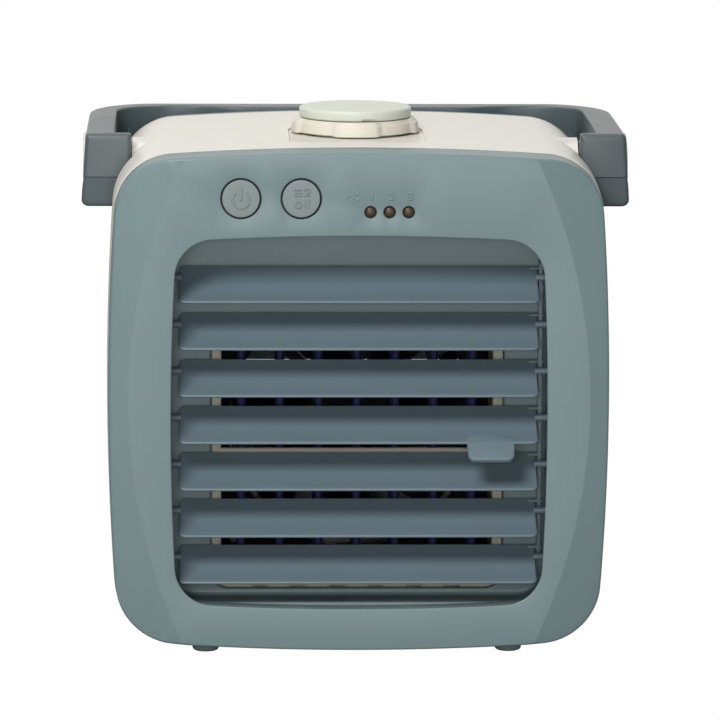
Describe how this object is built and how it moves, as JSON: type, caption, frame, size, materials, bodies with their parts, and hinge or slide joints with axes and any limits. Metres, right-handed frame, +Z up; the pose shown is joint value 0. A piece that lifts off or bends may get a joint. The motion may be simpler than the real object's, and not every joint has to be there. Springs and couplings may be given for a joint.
{
  "type": "desktop evaporative air cooler",
  "caption": "Box-shaped desktop air-cooler fan with tilting louvres, wet filter cassette, water filler cap and a folding carrying handle.",
  "frame": {"origin": "centre of the bounding box in x and y, at the undersides of the feet", "axes": "+X to the right of someone facing the louvres, +Y from the louvres to the back, +Z up"},
  "size_m": [0.1866, 0.1566, 0.1797],
  "materials": {
    "blue_grey_plastic": "matte, fine grain",
    "louvre_plastic": "matte",
    "handle_plastic": "satin",
    "button_plastic": "matte",
    "cream_plastic": "soft sheen",
    "ivory_plastic": "soft sheen",
    "mint_plastic": "soft sheen",
    "filter_frame_plastic": "matte",
    "filter_cloth": "wet fibre",
    "black_plastic": "satin",
    "foot_rubber": "matte",
    "seal_rubber": "matte",
    "circuit_board": "satin",
    "plated_steel": "plated",
    "copper_winding": "lacquered copper",
    "led_lens_plastic": "smoked, clear",
    "tank_plastic": "translucent white",
    "lead_sleeve": "satin"
  },
  "bodies": {
    "housing": {"front_bezel": "blue_grey_plastic", "led_lens_1": "led_lens_plastic", "led_lens_2": "led_lens_plastic", "led_lens_3": "led_lens_plastic", "power_switch": "black_plastic", "mode_switch": "black_plastic", "control_board": "circuit_board", "louvre_frame": "blue_grey_plastic", "filter_frame": "filter_frame_plastic", "filter_sheet_1": "filter_cloth", "filter_sheet_2": "filter_cloth", "filter_sheet_3": "filter_cloth", "filter_sheet_4": "filter_cloth", "filter_sheet_5": "filter_cloth", "filter_sheet_6": "filter_cloth", "filter_sheet_7": "filter_cloth", "air_duct": "black_plastic", "drip_tray": "tank_plastic", "water_tank": "tank_plastic", "fan_housing": "black_plastic", "fan_bearing": "plated_steel", "fan_stator": "copper_winding", "fan_screw_1": "plated_steel", "fan_screw_2": "plated_steel", "fan_screw_3": "plated_steel", "fan_screw_4": "plated_steel", "body_shell": "cream_plastic", "rear_cover": "blue_grey_plastic", "case_screw_1": "plated_steel", "case_screw_2": "plated_steel", "case_screw_3": "plated_steel", "case_screw_4": "plated_steel", "foot_1": "foot_rubber", "foot_2": "foot_rubber", "foot_3": "foot_rubber", "foot_4": "foot_rubber", "usb_board": "circuit_board", "usb_socket": "plated_steel", "power_lead": "lead_sleeve", "fan_lead": "lead_sleeve", "pivot_screw_left": "plated_steel", "pivot_screw_right": "plated_steel"},
    "louvre_1": {"louvre_1": "louvre_plastic"},
    "louvre_2": {"louvre_2": "louvre_plastic"},
    "louvre_3": {"louvre_3": "louvre_plastic"},
    "louvre_4": {"louvre_4": "louvre_plastic"},
    "louvre_5": {"louvre_5": "louvre_plastic"},
    "louvre_6": {"louvre_6": "louvre_plastic"},
    "louvre_7": {"louvre_7": "louvre_plastic"},
    "link_bar": {"louvre_link": "louvre_plastic"},
    "power_button": {"power_button": "button_plastic"},
    "mode_button": {"mode_button": "button_plastic"},
    "rotor": {"fan_rotor": "black_plastic", "fan_shaft": "plated_steel"},
    "carry_handle": {"handle": "handle_plastic", "pivot_cover_left": "ivory_plastic", "pivot_cover_right": "ivory_plastic"},
    "cap_ring": {"filler_ring": "ivory_plastic"},
    "cap_lid": {"filler_lid": "mint_plastic", "lid_seal": "seal_rubber"}
  },
  "joints": [
    {"name": "louvre_4_tilt", "type": "hinge", "parent": "housing", "child": "louvre_4", "pos_m": [0, -0.05885, 0.0795], "axis": [1, 0, 0], "range_deg": [-60, 6]},
    {"name": "louvre_1_tilt", "type": "hinge", "parent": "housing", "child": "louvre_1", "pos_m": [0, -0.05885, 0.1269], "axis": [1, 0, 0], "range_deg": [-60, 6]},
    {"name": "louvre_2_tilt", "type": "hinge", "parent": "housing", "child": "louvre_2", "pos_m": [0, -0.05885, 0.1111], "axis": [1, 0, 0], "range_deg": [-60, 6]},
    {"name": "louvre_3_tilt", "type": "hinge", "parent": "housing", "child": "louvre_3", "pos_m": [0, -0.05885, 0.0953], "axis": [1, 0, 0], "range_deg": [-60, 6]},
    {"name": "louvre_5_tilt", "type": "hinge", "parent": "housing", "child": "louvre_5", "pos_m": [0, -0.05885, 0.0637], "axis": [1, 0, 0], "range_deg": [-60, 6]},
    {"name": "louvre_6_tilt", "type": "hinge", "parent": "housing", "child": "louvre_6", "pos_m": [0, -0.05885, 0.0479], "axis": [1, 0, 0], "range_deg": [-60, 6]},
    {"name": "louvre_7_tilt", "type": "hinge", "parent": "housing", "child": "louvre_7", "pos_m": [0, -0.05885, 0.0321], "axis": [1, 0, 0], "range_deg": [-60, 6]},
    {"name": "link_pivot", "type": "hinge", "parent": "louvre_4", "child": "link_bar", "pos_m": [0.0611, -0.05494, 0.08194], "axis": [1, 0, 0], "range_deg": [-6, 60]},
    {"name": "power_button_press", "type": "slide", "parent": "housing", "child": "power_button", "axis": [0, 1, 0], "range_m": [0, 0.0007], "stiffness_N_per_m": 900},
    {"name": "mode_button_press", "type": "slide", "parent": "housing", "child": "mode_button", "axis": [0, 1, 0], "range_m": [0, 0.0007], "stiffness_N_per_m": 900},
    {"name": "rotor_spin", "type": "hinge", "parent": "housing", "child": "rotor", "pos_m": [0, 0.02675, 0.0659], "axis": [0, 1, 0], "continuous": true},
    {"name": "handle_swing", "type": "hinge", "parent": "housing", "child": "carry_handle", "pos_m": [0, -0.01075, 0.1581], "axis": [1, 0, 0], "range_deg": [0, 90]},
    {"name": "cap_twist", "type": "hinge", "parent": "housing", "child": "cap_ring", "pos_m": [0, -0.01075, 0.1731], "axis": [0, 0, 1], "range_deg": [0, 45]},
    {"name": "lid_lift", "type": "slide", "parent": "cap_ring", "child": "cap_lid", "axis": [0, 0, 1], "range_m": [0, 0.014]}
  ],
  "couplings": [
    {"joint": "louvre_1_tilt", "follows": "louvre_4_tilt", "ratio": 1},
    {"joint": "louvre_2_tilt", "follows": "louvre_4_tilt", "ratio": 1},
    {"joint": "louvre_3_tilt", "follows": "louvre_4_tilt", "ratio": 1},
    {"joint": "louvre_5_tilt", "follows": "louvre_4_tilt", "ratio": 1},
    {"joint": "louvre_6_tilt", "follows": "louvre_4_tilt", "ratio": 1},
    {"joint": "louvre_7_tilt", "follows": "louvre_4_tilt", "ratio": 1},
    {"joint": "link_pivot", "follows": "louvre_4_tilt", "ratio": -1}
  ]
}
